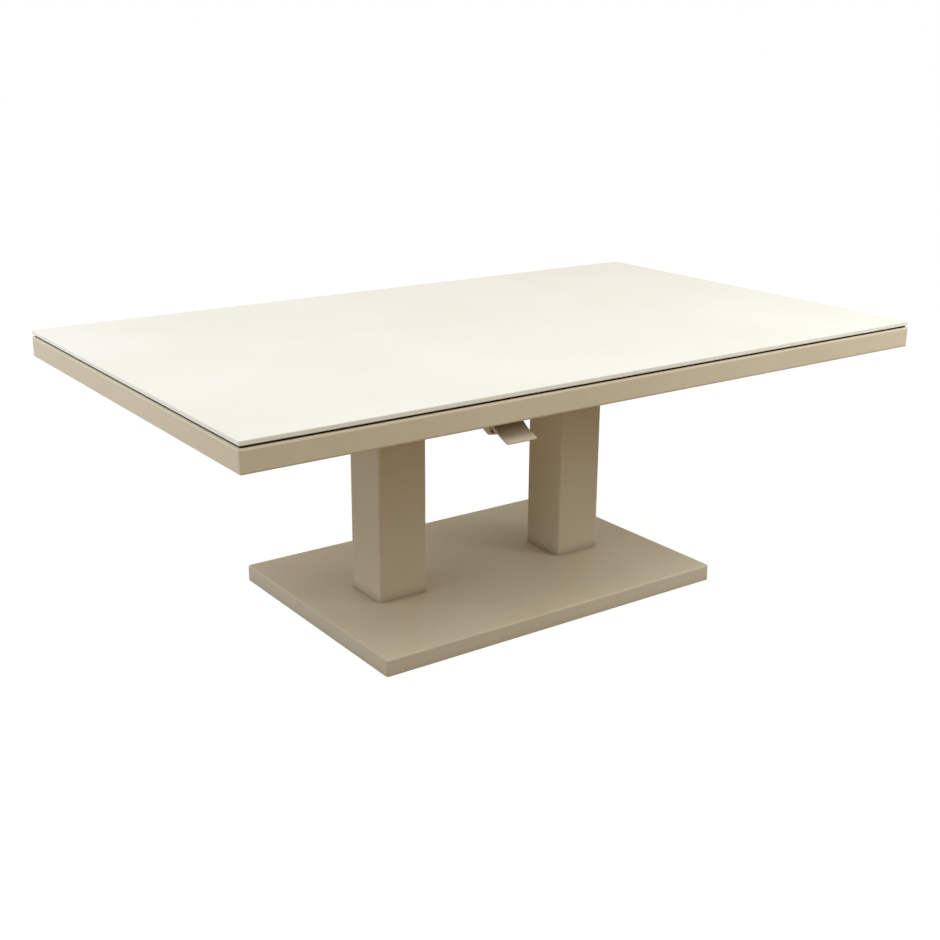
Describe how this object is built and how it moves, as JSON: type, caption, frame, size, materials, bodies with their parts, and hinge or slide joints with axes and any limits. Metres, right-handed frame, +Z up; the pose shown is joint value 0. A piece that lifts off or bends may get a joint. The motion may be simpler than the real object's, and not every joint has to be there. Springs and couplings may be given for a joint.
{
  "type": "height-adjustable garden table",
  "caption": "Long low garden table whose slab top rides on two telescopic square columns over a heavy base plate, with a hand release under the front rail.",
  "frame": {"origin": "on the floor under the middle of the table top, at the lowest setting", "axes": "+X along the length, +Z up, and the release lever under the front, on the -Y side"},
  "size_m": [1.5, 0.9, 0.55],
  "materials": {
    "sand_coat": "matte",
    "ceramic_top": "satin",
    "raw_steel": "satin",
    "zinc_steel": "satin",
    "dark_steel": "satin",
    "spring_paint": "satin",
    "rod_chrome": "polished",
    "nylon": "matte",
    "pad_rubber": "matte",
    "foot_plastic": "matte"
  },
  "bodies": {
    "base": {"base_plate": "raw_steel", "base_cover": "sand_coat", "cover_spacers": "zinc_steel", "foot_nuts": "zinc_steel", "left_column_flange": "raw_steel", "right_column_flange": "raw_steel", "flange_bolts": "zinc_steel", "left_outer_column": "sand_coat", "right_outer_column": "sand_coat", "left_guide_collar": "nylon", "right_guide_collar": "nylon", "left_gas_cylinder": "spring_paint", "right_gas_cylinder": "spring_paint"},
    "top": {"left_inner_column": "sand_coat", "right_inner_column": "sand_coat", "left_glide_shoe": "nylon", "right_glide_shoe": "nylon", "left_head_plate": "raw_steel", "right_head_plate": "raw_steel", "head_plate_bolts": "zinc_steel", "left_gas_rod": "rod_chrome", "right_gas_rod": "rod_chrome", "gas_rod_nuts": "zinc_steel", "front_rail": "sand_coat", "rear_rail": "sand_coat", "left_end_rail": "sand_coat", "right_end_rail": "sand_coat", "left_outer_cross_rail": "sand_coat", "left_inner_cross_rail": "sand_coat", "right_inner_cross_rail": "sand_coat", "right_outer_cross_rail": "sand_coat", "shaft_bushes": "nylon", "table_top": "ceramic_top", "top_pads": "pad_rubber", "gap_strips": "pad_rubber", "lever_bracket": "sand_coat", "bracket_screws": "zinc_steel", "lever_pin": "sand_coat", "lever_pin_clip": "dark_steel", "lever_spacers": "nylon"},
    "lever": {"release_lever": "sand_coat"},
    "push_rod": {"push_rod": "zinc_steel"},
    "release_shaft": {"release_shaft": "zinc_steel", "left_cam": "raw_steel", "right_cam": "raw_steel", "crank_arm": "raw_steel", "shaft_clips": "zinc_steel"},
    "left_pin": {"left_release_pin": "zinc_steel"},
    "right_pin": {"right_release_pin": "zinc_steel"},
    "front_left_foot": {"front_left_foot": "foot_plastic"},
    "front_right_foot": {"front_right_foot": "foot_plastic"},
    "rear_right_foot": {"rear_right_foot": "foot_plastic"},
    "rear_left_foot": {"rear_left_foot": "foot_plastic"}
  },
  "joints": [
    {"name": "lift", "type": "slide", "parent": "base", "child": "top", "axis": [0, 0, 1], "range_m": [0, 0.2]},
    {"name": "lever_pull", "type": "hinge", "parent": "top", "child": "lever", "pos_m": [-0.239, -0.3955, 0.4776], "axis": [-1, 0, 0], "range_deg": [0, 12], "stiffness_Nm_per_rad": 10, "springref_deg": -5.73},
    {"name": "push_rod_slide", "type": "slide", "parent": "top", "child": "push_rod", "axis": [0, 1, 0], "range_m": [0, 0.0036]},
    {"name": "shaft_turn", "type": "hinge", "parent": "top", "child": "release_shaft", "pos_m": [0, 0.0115, 0.51771], "axis": [1, 0, 0], "range_deg": [0, 15.2]},
    {"name": "left_pin_slide", "type": "slide", "parent": "top", "child": "left_pin", "axis": [0, 0, -1], "range_m": [0, 0.0032]},
    {"name": "right_pin_slide", "type": "slide", "parent": "top", "child": "right_pin", "axis": [0, 0, -1], "range_m": [0, 0.0032]},
    {"name": "front_left_foot_turn", "type": "hinge", "parent": "base", "child": "front_left_foot", "pos_m": [-0.355, -0.23, 0.003], "axis": [0, 0, 1], "continuous": true},
    {"name": "front_right_foot_turn", "type": "hinge", "parent": "base", "child": "front_right_foot", "pos_m": [0.355, -0.23, 0.003], "axis": [0, 0, 1], "continuous": true},
    {"name": "rear_right_foot_turn", "type": "hinge", "parent": "base", "child": "rear_right_foot", "pos_m": [0.355, 0.23, 0.003], "axis": [0, 0, 1], "continuous": true},
    {"name": "rear_left_foot_turn", "type": "hinge", "parent": "base", "child": "rear_left_foot", "pos_m": [-0.355, 0.23, 0.003], "axis": [0, 0, 1], "continuous": true}
  ],
  "couplings": [
    {"joint": "push_rod_slide", "follows": "lever_pull", "m_per_rad": 0.016},
    {"joint": "shaft_turn", "follows": "lever_pull", "ratio": 1.2308},
    {"joint": "left_pin_slide", "follows": "lever_pull", "m_per_rad": 0.014277},
    {"joint": "right_pin_slide", "follows": "lever_pull", "m_per_rad": 0.014277}
  ]
}
